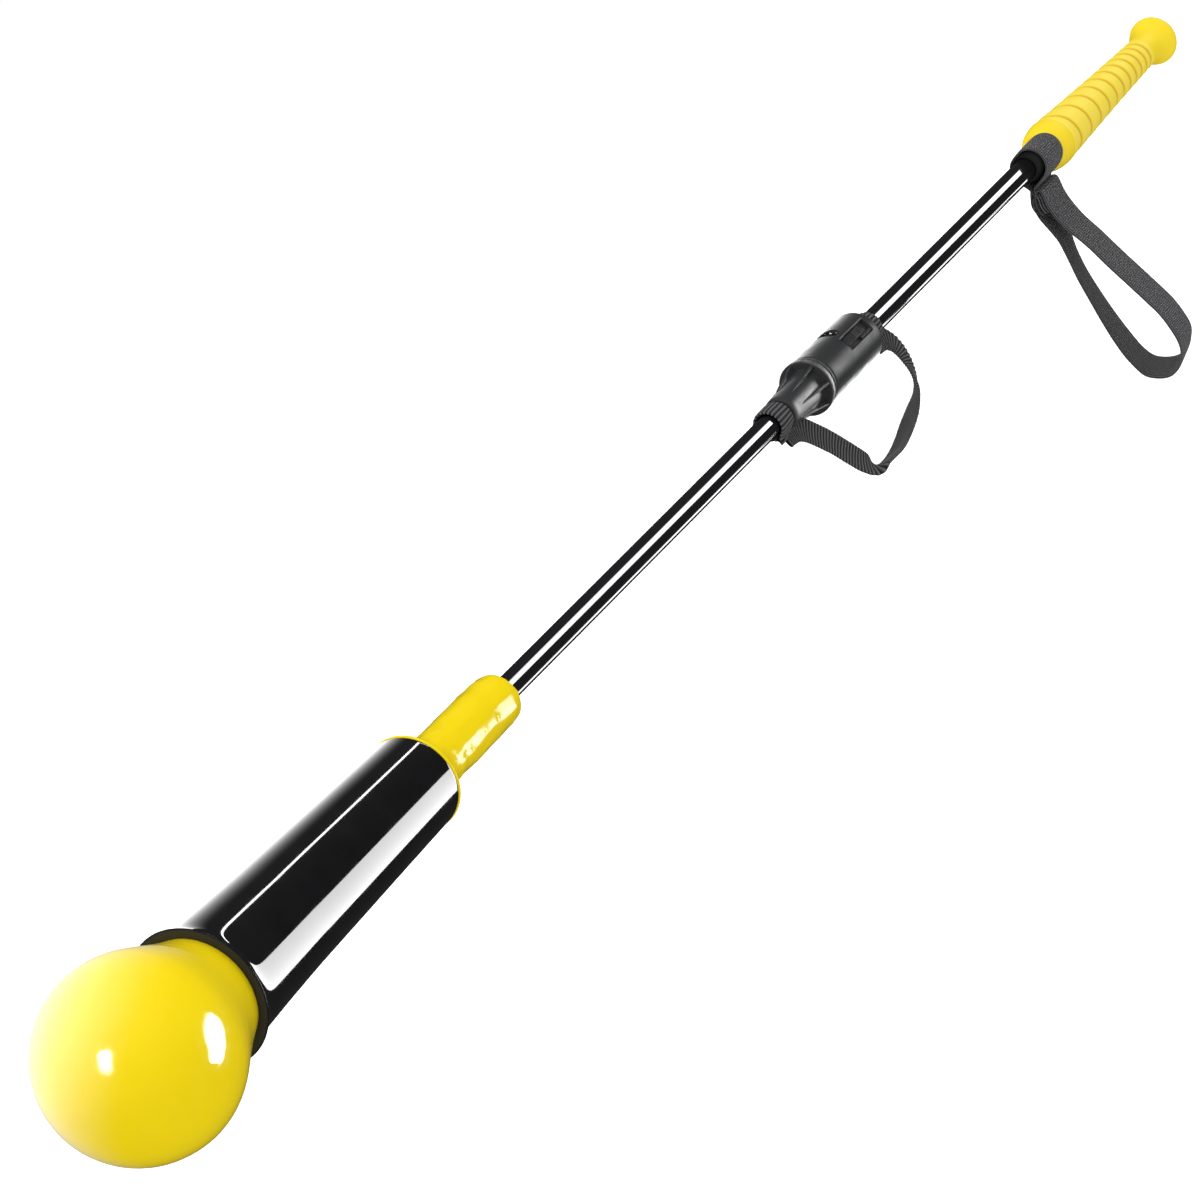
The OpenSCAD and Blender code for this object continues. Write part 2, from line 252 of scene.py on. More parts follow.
class Nodes:
    """Short ways to add nodes to a tree."""

    def __init__(self, tree):
        self.tree = tree

    def add(self, kind, inputs=None, **settings):
        node = self.tree.nodes.new("ShaderNode" + kind)
        for key, value in settings.items():
            setattr(node, key, value)
        for key, value in (inputs or {}).items():
            if isinstance(value, bpy.types.NodeSocket):
                self.tree.links.new(value, node.inputs[key])
            else:
                node.inputs[key].default_value = value
        return node

    def math(self, operation, *values):
        return self.add("Math", dict(enumerate(values)), operation=operation).outputs[0]

    def remap(self, value, low, high, from_low=0.0, from_high=1.0, smooth=False):
        inputs = {"Value": value, "From Min": from_low, "From Max": from_high, "To Min": low, "To Max": high}
        kind = "SMOOTHSTEP" if smooth else "LINEAR"
        return self.add("MapRange", inputs, interpolation_type=kind).outputs[0]

    def cloth(self):
        """The cloth's own coordinates in metres: along the band, across it."""
        uv = self.add("UVMap", uv_map="cloth").outputs[0]
        parts = self.add("SeparateXYZ", {0: uv}).outputs
        return parts[0], parts[1], uv


class Finish(Nodes):
    """A material with its Principled shader."""

    def __init__(self, name, **sockets):
        self.material = bpy.data.materials.new(name)
        self.material.use_nodes = True
        super().__init__(self.material.node_tree)
        self.shader = self.tree.nodes["Principled BSDF"]
        for key, value in sockets.items():
            self.shader.inputs[key.replace("_", " ")].default_value = value
        self.place = self.add("TexCoord").outputs["Object"]

    def noise(self, scale, detail=2.0, vector=None, roughness=0.5):
        inputs = {"Vector": vector or self.place, "Scale": scale, "Detail": detail, "Roughness": roughness}
        return self.add("TexNoise", inputs).outputs[0]

    def stretch(self, x, y, z, vector=None):
        inputs = {0: vector or self.place, 1: (x, y, z)}
        return self.add("VectorMath", inputs, operation="MULTIPLY").outputs[0]

    def colours(self, factor, a, b):
        ends = [(*end, 1) if isinstance(end, tuple) else end for end in (a, b)]
        return self.add("Mix", {0: factor, 6: ends[0], 7: ends[1]}, data_type="RGBA").outputs[2]

    def bump(self, height, distance, below=None):
        inputs = {"Height": height, "Distance": distance, "Strength": 1.0}
        if below:
            inputs["Normal"] = below
        return self.add("Bump", inputs).outputs[0]

    def wave(self, value, pitch, phase=0.0):
        """A sine from 0 to 1 that repeats every pitch metres."""
        turned = self.math("MULTIPLY_ADD", value, math.tau / pitch, phase)
        return self.remap(self.math("SINE", turned), 0.0, 1.0, -1.0)

    def done(self, colour, rough, normal):
        for socket, value in (("Base Color", colour), ("Roughness", rough), ("Normal", normal)):
            self.tree.links.new(value, self.shader.inputs[socket])
        return self.material


def grained(name, ior, tint, low, high, gloss, rough, relief, height):
    """Moulded stuff: noises of (scale, detail) shift its colour and its gloss and raise its grain."""
    f = Finish(name, IOR=ior)
    return f.done(f.colours(f.noise(*tint), low, high), f.remap(f.noise(*gloss), *rough),
                  f.bump(f.noise(*relief), height))


def dipped_yellow():
    f = Finish("dipped_yellow", IOR=1.5, Coat_Weight=0.25, Coat_Roughness=0.03)
    tone = f.colours(f.noise(45, 3), (0.86, 0.645, 0.002), (0.92, 0.70, 0.005))
    lumps = f.bump(f.noise(240, 2), 0.00011)
    return f.done(tone, f.remap(f.noise(260, 3), 0.07, 0.15, 0.3, 0.7),
                  f.bump(f.noise(1600, 2), 0.000008, lumps))


def shaft_enamel():
    f = Finish("shaft_enamel", IOR=1.52)
    drawn = f.noise(1, 3, f.stretch(14, 1500, 1500))
    return f.done(f.colours(drawn, (0.005, 0.005, 0.006), (0.012, 0.012, 0.013)),
                  f.remap(f.noise(50, 4, f.stretch(1, 3, 3)), 0.05, 0.10, 0.3, 0.7),
                  f.bump(drawn, 0.0000004, f.bump(f.noise(220, 2), 0.0000012)))


def satin_moulding():
    """Spark-eroded black nylon, painted paler at the flanges' rims and the window rail, which share one
    radius: partly rubbing wear, partly a painted highlight on those edges.
    """
    f = Finish("satin_moulding", IOR=1.5)
    grain = f.noise(1500, 4, roughness=0.65)
    parts = f.add("SeparateXYZ", {0: f.place}).outputs
    radius = f.math("SQRT", f.math("ADD", f.math("POWER", parts[1], 2.0), f.math("POWER", parts[2], 2.0)))
    # rim mask: the radius of the flanges' rims and the window rail, where the paler tone is part wear, part
    # painted highlight
    rim = f.remap(radius, 0.0, 0.8, 0.01325, 0.01375, smooth=True)
    rim_wear_and_highlight = f.math("MULTIPLY", rim, f.remap(f.noise(350, 3), 0.3, 1.0, 0.35, 0.6))
    plain = f.colours(grain, (0.020, 0.0205, 0.0215), (0.044, 0.045, 0.047))
    return f.done(f.colours(rim_wear_and_highlight, plain, (0.16, 0.16, 0.165)),
                  f.remap(f.noise(120, 3), 0.27, 0.38, 0.3, 0.7),
                  f.bump(grain, 0.00003, f.bump(f.noise(140, 2), 0.00006)))


def turned_metal(name, low, high, rough):
    """Metal with fine tool marks that run round the shaft."""
    f = Finish(name, Metallic=1.0, Anisotropic=0.4)
    marks = f.noise(1, 4, f.stretch(5200, 60, 60))
    return f.done(f.colours(marks, low, high), f.remap(f.noise(300, 3), *rough), f.bump(marks, 0.000006))


def wrap_yellow():
    """Polyurethane tape: pale on its faces, with painted shade in the seams' grooves as a deeper, warmer
    yellow.
    """
    f = Finish("wrap_yellow", IOR=1.45)
    seam = f.add("Attribute", attribute_name="seam").outputs["Fac"]
    face = f.colours(f.noise(110, 3), (0.96, 0.735, 0.035), (0.99, 0.79, 0.070))
    grain = f.noise(1900, 3)
    # the seam mask blends in a darker yellow: painted shade in the grooves between the turns
    return f.done(f.colours(seam, face, (0.66, 0.40, 0.002)), f.remap(grain, 0.40, 0.52),
                  f.bump(grain, 0.00002, f.bump(f.noise(190, 2), 0.00012)))


RIB_PITCH = 0.0019


def ribbed_webbing():
    """Coarse crosswise ribs, each of a few plied yarns, with a painted highlight on the crests and painted
    shade in the valleys.
    """
    f = Finish("ribbed_webbing", IOR=1.4, Sheen_Weight=0.08, Sheen_Roughness=0.5)
    along, across, uv = f.cloth()
    crest = f.wave(along, RIB_PITCH, -math.pi / 2)
    ply = f.wave(f.math("ADD", across, f.math("MULTIPLY", along, 0.45)), 0.00085)
    fuzz = f.noise(3200, 3, uv)
    # light: painted light and shade, pale on the crests and yarns, near black in the valleys
    light = f.math("POWER", f.math("MULTIPLY", crest, f.remap(ply, 0.45, 1.0)), 1.5)
    tone = f.colours(light, (0.003, 0.003, 0.004), (0.23, 0.232, 0.24))
    return f.done(f.colours(f.remap(fuzz, 0.0, 0.35, 0.35, 0.7), tone, (0.02, 0.02, 0.022)),
                  f.remap(fuzz, 0.62, 0.85), f.bump(fuzz, 0.00008, f.bump(ply, 0.00022)))


def woven_elastic():
    """Fine crosswise picks broken by covered rubber cords, painted lighter on the picks and cords and in
    shade between them, with darker bound edges.
    """
    f = Finish("woven_elastic", IOR=1.4, Sheen_Weight=0.08, Sheen_Roughness=0.5)
    along, across, uv = f.cloth()
    wander = f.math("MULTIPLY", f.noise(420, 2, f.stretch(0.6, 2.6, 1, uv)), 0.0024)
    pick = f.wave(f.math("ADD", along, wander), 0.0011)
    broken = f.noise(1, 2, f.stretch(1700, 800, 1, uv))
    # light: painted light on the picks and cords, painted shade in the gaps between them
    light = f.math("MULTIPLY", pick, f.remap(broken, 0.15, 1.2, 0.40, 0.60))
    light = f.math("MULTIPLY", light, f.remap(f.wave(across, 0.0025), 0.6, 1.0))
    tone = f.colours(light, (0.008, 0.008, 0.009), (0.27, 0.265, 0.285))
    from_middle = f.math("ABSOLUTE", across)
    edge = f.remap(from_middle, 0.0, 1.0, 0.0106, 0.0110, smooth=True)
    bound = f.colours(f.wave(from_middle, 0.0013, 2.6), (0.003, 0.003, 0.003), (0.13, 0.13, 0.135))
    return f.done(f.colours(edge, tone, bound), f.remap(broken, 0.62, 0.86),
                  f.bump(broken, 0.00006, f.bump(light, 0.00022)))


def sewing_thread():
    f = Finish("sewing_thread", IOR=1.45, Sheen_Weight=0.2)
    twist = f.noise(1, 2, f.stretch(5200, 2600, 5200))
    return f.done(f.colours(twist, (0.03, 0.03, 0.033), (0.12, 0.12, 0.13)), f.remap(twist, 0.45, 0.65),
                  f.bump(twist, 0.00008))


YELLOW = dipped_yellow()
GLOSS = grained("gloss_black", 1.5, (60, 3), (0.004, 0.004, 0.0045), (0.010, 0.010, 0.011),
                (90, 4), (0.035, 0.08, 0.3, 0.7), (300, 2), 0.000002)
ENAMEL = shaft_enamel()
RUBBER = grained("matt_rubber", 1.45, (2600, 3), (0.012, 0.012, 0.013), (0.026, 0.026, 0.027),
                 (500, 3), (0.55, 0.75), (2600, 3), 0.00006)
SATIN = satin_moulding()
TAB = grained("tab_plastic", 1.48, (2200, 4, None, 0.7), (0.018, 0.018, 0.019), (0.05, 0.05, 0.052),
              (2200, 4, None, 0.7), (0.42, 0.6), (2200, 4, None, 0.7), 0.00007)
CORE = grained("core_moulding", 1.46, (900, 3), (0.02, 0.02, 0.022), (0.05, 0.05, 0.053),
               (200, 3), (0.5, 0.65), (900, 3), 0.00004)
STEEL = turned_metal("turned_steel", (0.50, 0.51, 0.53), (0.62, 0.63, 0.65), (0.22, 0.36))
DARK_STEEL = turned_metal("blackened_steel", (0.05, 0.05, 0.053), (0.11, 0.11, 0.115), (0.12, 0.2))
NICKEL = turned_metal("nickel_plate", (0.70, 0.69, 0.66), (0.80, 0.79, 0.76), (0.10, 0.18))
WRAP = wrap_yellow()
MOULDED = grained("moulded_yellow", 1.45, (80, 3), (0.93, 0.68, 0.003), (0.97, 0.735, 0.008),
                  (300, 3), (0.34, 0.45), (1700, 3), 0.000014)
WEBBING, ELASTIC, THREAD = ribbed_webbing(), woven_elastic(), sewing_thread()


# ---------------------------------------------------------------- head

SKIN = 2.6
NECK_R = 23.4


def ball_outline(radius, neck):
    """Ball from its front pole, then the curve that runs into the neck."""
    ball = [(-radius * math.cos(math.radians(2.5 * i)), radius * math.sin(math.radians(2.5 * i)))
            for i in range(43)]
    leave = math.radians(105)
    stations = (-radius * math.cos(leave), -radius * math.cos(leave) + 9.5, 36, 50)
    radii = (radius * math.sin(leave), radius * math.sin(leave) - 2.6, neck + 2.9, neck + 0.1)
    curve = []
    for k in range(1, 17):
        t = k / 16
        weights = ((1 - t) ** 3, 3 * (1 - t) ** 2 * t, 3 * (1 - t) * t * t, t ** 3)
        curve.append((sum(w * s for w, s in zip(weights, stations)),
                      sum(w * r for w, r in zip(weights, radii))))
    return ball + curve


def make_head_skin():
    """The dipped skin: a closed shell that is slightly uneven, as a dipped coat is."""
    outer = ball_outline(BALL_R, NECK_R)
    inner = ball_outline(BALL_R - SKIN, NECK_R - SKIN)
    profile = outer + [(54, NECK_R), (54, NECK_R - SKIN)] + inner[::-1]
    made = lathe("head_skin_dip", profile, 256, closed=False, sharp=60)
    for vertex in made.data.vertices:
        out = vertex.co - Vector((BALL_X, 0, 0))
        if out.length > 0.0385 or out.x > 0.012:
            fade = 1 - smoothstep(0.026, 0.043, out.x)
            sag = 0.26 * noise.noise(vertex.co * 38) + 0.05 * noise.noise(vertex.co * 120)
            vertex.co += out.normalized() * (sag - 0.2) * MM * fade
    return stand_for(made, "lower", "dip_yellow", YELLOW, "head_skin")


def sleeve_outline():
    """Outer line of the tapered sleeve, from its flared mouth to its rear."""
    return curve_through([(44.6, 29.2), (45.8, 28.2), (48, 27.2), (52, 26.4), (60, 25.75), (76, 24.85),
                          (96, 23.95), (110, 23.45), (142, 22.6), (172, 21.8), (212, 20.8),
                          (220.6, 20.62)], 4)


def make_sleeve():
    outer = sleeve_outline()
    inner = [(p.x, p.y - 1.5) for p in outer[5:]][::-1]
    lip = rounded([(46.6, 26.4), (44.7, 28.75, 0.1), (44.5, 29.25, 0.15), (45.0, 29.05)])
    profile = lip + outer[1:] + [(220.95, 20.45), (221, 20.2), (221, 19.2)] + inner
    made = lathe("head_sleeve_gloss", profile, 256)
    return stand_for(made, "lower", "sleeve_black", GLOSS, "head_sleeve")


def make_mouth_ring():
    profile = rounded([(44.5, 24.2, 0.3), (44.1, 28.5, 0.35), (44.7, 28.85, 0.2), (46.4, 26.9, 0.2),
                       (50, 25.8, 0.2), (50, 24.2, 0.2)], closed=True)
    made = lathe("mouth_ring_rubber", profile, 224)
    return stand_for(made, "lower", "ring_matt", RUBBER, "mouth_ring")


def make_barrel():
    """Barrel, rear rim and tail, with the tail's coat drawn a little unevenly round the shaft."""
    tail = curve_through([(221.15, 20.35), (221.5, 20.75), (222.1, 20.85), (222.8, 20.5), (223.7, 19.2),
                          (225, 17.55), (228, 15.2), (232, 13.55), (237, 12.6), (244, 12.2), (252, 12.1),
                          (272, 12.1), (290, 12.05), (294, 11.9)], 4)
    end = rounded([(294.2, 11.88), (299.4, 11.5, 4.2), (299.6, 7.6, 0.5), (299.0, 5.56)], steps=8)
    front = [(18.2, 5.56), (18.2, 14.1), (54.5, 14.1), (54.5, 17.4), (205, 17.4), (207, 18.85),
             (221.1, 18.85)]

    def uneven(station, radius, angle):
        if station < 226 or radius < 8:
            return radius
        place = Vector((station / 6.5, 2.8 * math.cos(angle), 2.8 * math.sin(angle)))
        return radius - 0.2 + 0.46 * noise.noise(place) * smoothstep(224, 236, station)

    made = lathe("head_barrel_dip", front + tail + end, 192, shape=uneven)
    return stand_for(made, "lower", "dip_yellow", YELLOW, "head_barrel")


# ---------------------------------------------------------------- shafts and plug

def tube(name, start, end, outer, inner, body, slot, node, material):
    edge = min(0.35, (outer - inner) * 0.45)
    profile = rounded([(start, outer, edge), (end, outer, edge), (end, inner, edge), (start, inner, edge)],
                      closed=True)
    stations = [start + (end - start) * k / 12 for k in range(1, 12)]
    cut = len(profile) // 4
    profile = profile[:cut] + [(s, outer) for s in stations] + profile[cut:]
    return stand_for(lathe(name, profile, 128), body, slot, material, node)


def make_shafts():
    tube("lower_shaft_tube", 41, 618, 5.5, 4.3, "lower", "shaft_black", "lower_shaft", ENAMEL)
    tube("upper_shaft_tube", 634, 1108, 5.8, 4.9, "upper", "shaft_black", "upper_shaft", ENAMEL)


def make_spigot():
    profile = rounded([(580, 0), (580, 4.25, 0.3), (618.1, 4.25), (618.1, 5.5, 0.2), (622, 5.5, 0.2),
                       (622, 4.85), (640.9, 4.85, 0.15), (640.9, 3.9), (642.7, 3.9), (642.7, 4.85, 0.15),
                       (662, 4.85, 0.8), (662, 3.85, 0.1), (658.9, 3.85), (658.9, 0)])
    stand_for(lathe("spigot_steel", profile, 96, closed=False), "lower", "steel", STEEL, "spigot")
    ring = [(641.8 + 0.42 * x, 4.4 + 0.42 * y) for x, y in circle(16)]
    stand_for(lathe("spigot_ring_seal", ring, 96), "lower", "seal", RUBBER, "spigot_ring")
    plug = rounded([(659, 0), (659, 3.8, 0.15), (661.95, 3.8, 0.35), (661.95, 0)])
    made = lathe("spigot_magnet_disc", plug, 96, closed=False)
    stand_for(made, "lower", "magnet", NICKEL, "spigot_magnet")


# ---------------------------------------------------------------- coupling

RIBS = 7
RIB_TURN = 105


def outward(turn):
    """Unit vectors of a direction turned about the shaft from straight up: outwards, sideways."""
    a = math.radians(turn)
    return Vector((0, -math.sin(a), math.cos(a))), Vector((0, math.cos(a), math.sin(a)))


def cone_rib(turn):
    """One thin rib: a closed wedge with a rounded crest, wider where it meets the flange."""
    out, side = outward(turn)
    stations = 16
    vertices = []
    for i in range(stations + 1):
        t = i / stations
        station = mix(606.2, 630.6, t)
        crest = mix(8.55, 13.25, t) if t > 0.02 else 8.3
        half = mix(0.35, 0.80, t)
        base = mix(7.7, 9.0, t)
        soft = min(0.35, (crest - base) * 0.45)
        flank = [(half, base), (half, crest - soft), (half * 0.75, crest - soft * 0.3), (half * 0.35, crest)]
        section = [(-y, z) for y, z in flank] + flank[::-1]
        vertices += [Vector((at(station), 0, 0)) + (side * y + out * z) * MM for y, z in section]
    return vertices, capped_faces(stations + 1, 8)


def make_cone_nut():
    profile = rounded([(598, 5.56), (598, 7.7, 0.35), (598.8, 8.1), (602, 8.3), (612, 8.9), (622, 9.4),
                       (629.4, 9.7, 0.6), (629.75, 13.2, 0.45), (630.4, 13.75, 0.3), (632.7, 13.8, 0.35),
                       (633.2, 13.2, 0.2), (633.2, 4.96), (622, 4.96), (622, 5.56)], closed=True)
    core = lathe("cone_nut_core", profile, 224)
    vertices = [v.co.copy() for v in core.data.vertices]
    faces = [tuple(p.vertices) for p in core.data.polygons]
    bpy.data.objects.remove(core)
    if sum(vertices[f[0]].dot(vertices[f[1]].cross(vertices[f[2]])) for f in faces) < 0:
        faces = [f[::-1] for f in faces]
    ribs = [cone_rib(RIB_TURN + i * 360 / RIBS) for i in range(RIBS)]
    made = mesh_object("cone_nut_ribbed", *joined((vertices, faces), *ribs), 32)
    return stand_for(made, "lower", "coupling_black", SATIN, "cone_nut")


BODY_R = 13.1
WINDOW_TURN, SCREW_TURN = 75, 20
WINDOW = (662.0, 688.0, 3.6)  # front, rear, half width
WINDOW_FLOOR = 10.45
SCREW_B = 667.0
RECESS_FLOOR = 11.1


def inside_rect(b, y, b0, b1, half, corner):
    """Distance in millimetres inside a rectangle with rounded corners; negative outside it."""
    dx = abs(b - (b0 + b1) / 2) - (b1 - b0) / 2 + corner
    dy = abs(y) - half + corner
    outside = math.hypot(max(dx, 0), max(dy, 0))
    return corner - (outside + min(max(dx, dy), 0))


def body_point(b, r, theta):
    """A point of the coupling cylinder with the window and the screw recess sunk into it."""
    point = Vector((r * math.cos(theta), r * math.sin(theta)))
    for turn, kind in ((WINDOW_TURN, "window"), (SCREW_TURN, "screw")):
        out, side = outward(turn)
        out, side = Vector((out.y, out.z)), Vector((side.y, side.z))
        y, h = point.dot(side), point.dot(out)
        if h < 6 or abs(y) > 7:
            continue
        if kind == "window":
            depth = inside_rect(b, y, *WINDOW, 0.4)
            rail = min(0.5, b - 661.2, 688.6 - b, y - 3.55, 4.6 - y)
            if rail > 0:
                h = mix(h, BODY_R - 0.1, smoothstep(0.0, 0.22, rail))
            sunk = smoothstep(-0.16, 0.16, depth)
            h = mix(h, min(h, WINDOW_FLOOR), sunk)
        else:
            reach = 3.8 - math.hypot(b - SCREW_B, max(abs(y) - 1.5, 0))
            sunk = smoothstep(-0.45, 0.25, reach)
            h = mix(h, min(h, RECESS_FLOOR), sunk)
        point = side * y + out * h
    return Vector((at(b), point.x * MM, point.y * MM))


def make_coupling_body():
    """The moulded cylinder as one fine grid, denser where the window and the recess are cut."""
    front = rounded([(633.5, 5.85), (633.5, 12.7, 0.4), (634.1, 13.45, 0.3), (635.65, 13.5, 0.3),
                     (636.2, 12.7, 0.15), (636.75, 12.7, 0.15), (637.4, 13.1, 0.3), (638.6, 13.1)])
    plain = [(640 + 2.2 * k, BODY_R) for k in range(10)]
    dense = [(660.6 + 0.2 * k, BODY_R) for k in range(145)]
    rear = rounded([(690, BODY_R), (694, BODY_R, 2.4), (694, 5.85, 0.3), (692, 5.85)], steps=8)
    profile = [tuple(p[:2]) for p in front + plain + dense + rear]
    fine = [math.radians(76 + 0.75 * k) for k in range(150)]
    coarse = [math.radians(76 + 112.5 + 2.475 * k) for k in range(100)]
    angles = fine + coarse
    vertices = []
    for b, r in profile:
        on_cylinder = r > BODY_R - 0.01 and 659 < b < 691
        for theta in angles:
            if on_cylinder:
                vertices.append(body_point(b, r, theta))
            else:
                vertices.append(ring_point(b, r, theta))
    faces = grid_faces(len(profile), len(angles), wrap_rows=True)
    made = mesh_object("coupling_body_moulded", vertices, faces, 38)
    return stand_for(made, "upper", "coupling_black", SATIN, "coupling_body")


def local_mesh(name, turn, station, build, sharp=38):
    """Builds (x, y, z) millimetre vertices and faces in the frame of a feature on the cylinder."""
    out, side = outward(turn)
    vertices, faces = build
    placed = [Vector((at(station + x), 0, 0)) + (side * y + out * z) * MM for x, y, z in vertices]
    return mesh_object(name, placed, faces, sharp)


def joined(*parts):
    vertices, faces = [], []
    for part_vertices, part_faces in parts:
        start = len(vertices)
        vertices += part_vertices
        faces += [tuple(start + k for k in face) for face in part_faces]
    return vertices, faces


def soft_slab(x0, x1, y0, y1, z0, z1, corner=0.4, edge=0.2):
    """A flat slab with rounded corners in plan and softened upper and lower edges."""
    levels = [(z0, edge), (z0 + edge * 0.3, edge * 0.3), (z0 + edge, 0), (z1 - edge, 0),
              (z1 - edge * 0.3, edge * 0.3), (z1, edge)]
    corners = 5
    vertices = []
    for z, inset in levels:
        reach = max(corner - inset, 0.02)
        for cx, cy, start in ((x1, y1, 0), (x0, y1, 90), (x0, y0, 180), (x1, y0, 270)):
            for k in range(corners + 1):
                a = math.radians(start + 90 * k / corners)
                sx = cx - math.copysign(corner, cx - (x0 + x1) / 2)
                sy = cy - math.copysign(corner, cy - (y0 + y1) / 2)
                vertices.append((sx + reach * math.cos(a), sy + reach * math.sin(a), z))
    return vertices, capped_faces(len(levels), 4 * (corners + 1))


def spun(points, cx, cy, segments=40):
    """A profile of (radius, height) spun about a local upright axis; it starts and ends on it."""
    vertices, rows = [], []
    for r, z in points:
        if r < 1e-6:
            rows.append([len(vertices)] * segments)
            vertices.append((cx, cy, z))
        else:
            rows.append(list(range(len(vertices), len(vertices) + segments)))
            vertices += [(cx + r * x, cy + r * y, z) for x, y in circle(segments)]
    faces = []
    for a, b in zip(rows, rows[1:]):
        for j in range(segments):
            k = (j + 1) % segments
            corners = [a[j], a[k], b[k], b[j]]
            faces.append(tuple(c for i, c in enumerate(corners) if c not in corners[:i]))
    return vertices, faces


def make_screw():
    """A button screw with a hexagon socket, and the small locating pip beside it."""
    head = rounded([(0, 5.0), (1.3, 5.0), (1.3, 11.15), (3.15, 11.15, 0.2), (3.2, 11.55, 0.4),
                    (2.5, 12.55, 0.7), (1.5, 12.95, 0.4), (1.3, 12.95, 0.15), (1.15, 12.5), (1.1, 11.7),
                    (0, 11.55)])
    made = local_mesh("body_screw_button", SCREW_TURN, SCREW_B, spun(head, 0, 0.3, 48), 30)
    stand_for(made, "upper", "steel", DARK_STEEL, "body_screw")
    pip = rounded([(0, 10.7), (1.0, 10.7), (1.05, 11.5, 0.3), (0.7, 12.2, 0.4), (0, 12.35)])
    made = local_mesh("recess_pip", SCREW_TURN, SCREW_B, spun(pip, 0.6, -3.9, 32), 30)
    stand_for(made, "upper", "coupling_black", DARK_STEEL)


def make_slider():
    """The slotted plate in the window and the tongue that slides on it."""
    plate = joined(
        soft_slab(662.15, 667.9, -3.48, 3.48, 10.47, 11.07, 0.35, 0.08),
        soft_slab(667.8, 678.4, -3.48, -0.25, 10.47, 11.07, 0.1, 0.06),
        soft_slab(678.3, 687.85, -3.48, 3.48, 10.47, 11.07, 0.35, 0.08),
        soft_slab(676.2, 687.8, -3.1, -1.6, 10.9, 12.45, 0.5, 0.25),
        soft_slab(682.6, 687.7, -1.2, 3.2, 10.9, 11.14, 1.4, 0.08))
    made = local_mesh("slider_plate_slotted", WINDOW_TURN, 0, plate, 35)
    stand_for(made, "upper", "core_black", TAB, "slider_plate")
    stem = [(0, 1.2), (1.35, 1.2), (1.35, 11.4), (0, 11.4)]
    eyelet = rounded([(0, 12.5), (1.25, 12.5), (1.2, 12.95, 0.25), (0.75, 12.95, 0.15),
                      (0.65, 12.6), (0, 12.55)])
    bars = [soft_slab(664.6 + 1.8 * i, 665.4 + 1.8 * i, -1.1, 3.1, 12.5, 13.08, 0.3, 0.16) for i in range(5)]
    tongue = joined(soft_slab(663.3, 680.9, -1.3, 3.3, 11.17, 12.7, 0.7, 0.28), spun(stem, 670, 1.4, 28),
                    spun(eyelet, 678.3, 0.9, 32), *bars)
    made = local_mesh("slider_tab_tongue", WINDOW_TURN, 0, tongue, 35)
    stand_for(made, "slider", "coupling_black", TAB, "slider_tab")


# ---------------------------------------------------------------- grip

WRAP_B, WRAP_END_B = 962.0, 1100.0
FIRST_PITCH, PITCH_RATIO = 18.8, 0.912


def wrap_radius(station):
    u = (station - WRAP_B) / (WRAP_END_B - WRAP_B)
    return mix(13.2, 8.7, 1.25 * u - 0.25 * u * u)


def wrap_turns(station):
    """Turns of tape wound up to a station: the pitch shrinks by PITCH_RATIO with each turn."""
    left = 1 - (station - WRAP_B) * (1 - PITCH_RATIO) / FIRST_PITCH
    return math.log(max(left, 1e-3)) / math.log(PITCH_RATIO)


def make_wrap():
    """Tape wound in a spiral: each turn laps the last, so the seam is a step with a soft edge."""
    rows, segments = 560, 160
    vertices, values = [], []
    for i in range(rows + 1):
        station = mix(WRAP_B, WRAP_END_B, i / rows)
        end = smoothstep(0, 1.2, station - WRAP_B) * smoothstep(0, 1.2, WRAP_END_B - station)
        for j in range(segments):
            angle = math.tau * j / segments
            turns = wrap_turns(station) - angle / math.tau
            phase = turns - math.floor(turns)
            pitch = FIRST_PITCH * PITCH_RATIO ** max(wrap_turns(station), 0)
            from_seam = min(phase, 1 - phase) * pitch
            groove = math.exp(-(from_seam / 1.05) ** 2)
            lap = 0.22 * (1 - phase) * min(1.0, phase * pitch / 0.8)
            belly = 0.28 * math.sin(math.pi * phase)
            soft = 0.10 * noise.noise(Vector((station / 7, 3 * math.cos(angle), 3 * math.sin(angle))))
            radius = wrap_radius(station) - 0.25 + (belly + lap + soft - 0.65 * groove) * end
            vertices.append(ring_point(station, radius, angle))
            # the groove is also stored as the seam mask, where wrap_yellow paints shade
            values.append(groove * end)
    bore = ((1100.0, 7.4), (1030.0, 9.0), (963.0, 11.5), (962.0, 11.6))
    for station, radius in bore:
        vertices += [ring_point(station, radius, math.tau * j / segments) for j in range(segments)]
        values += [0.0] * segments
    faces = grid_faces(rows + 1 + len(bore), segments, wrap_rows=True)
    made = mesh_object("grip_wrap_tape", vertices, faces, 50, values=values)
    return stand_for(made, "upper", "grip_yellow", WRAP, "grip_wrap")


def make_collar():
    outer = curve_through([(946.2, 8.9), (946.45, 9.7), (947.3, 10.6), (948.8, 11.35), (950.6, 12.0),
                           (952.6, 12.5), (956.6, 13.1), (960, 13.3), (961.3, 13.28)], 5)
    back = [(961.9, 12.9), (961.9, 11.3), (956, 9.8), (955.6, 8.35), (946.3, 8.35)]
    made = lathe("grip_collar_moulded", outer + back, 224, sharp=45)
    return stand_for(made, "upper", "grip_yellow", MOULDED, "grip_collar")


def make_knob():
    outer = curve_through([(1100.1, 8.35), (1100.8, 8.6), (1103, 8.75), (1107, 8.95), (1111, 9.45),
                           (1115, 10.4), (1118.4, 11.7), (1120.8, 12.8), (1122.6, 13.3),
                           (1124.2, 13.3), (1126, 12.6), (1126.95, 11.4), (1127, 10.2)], 5)
    rear = rounded([(1127, 6), (1127, 2.0, 0.5), (1108.2, 2.0), (1108.2, 5.85), (1100.1, 5.85)])
    made = lathe("grip_knob_moulded", outer + rear, 224, sharp=45)
    return stand_for(made, "upper", "grip_yellow", MOULDED, "grip_knob")


# ---------------------------------------------------------------- bands

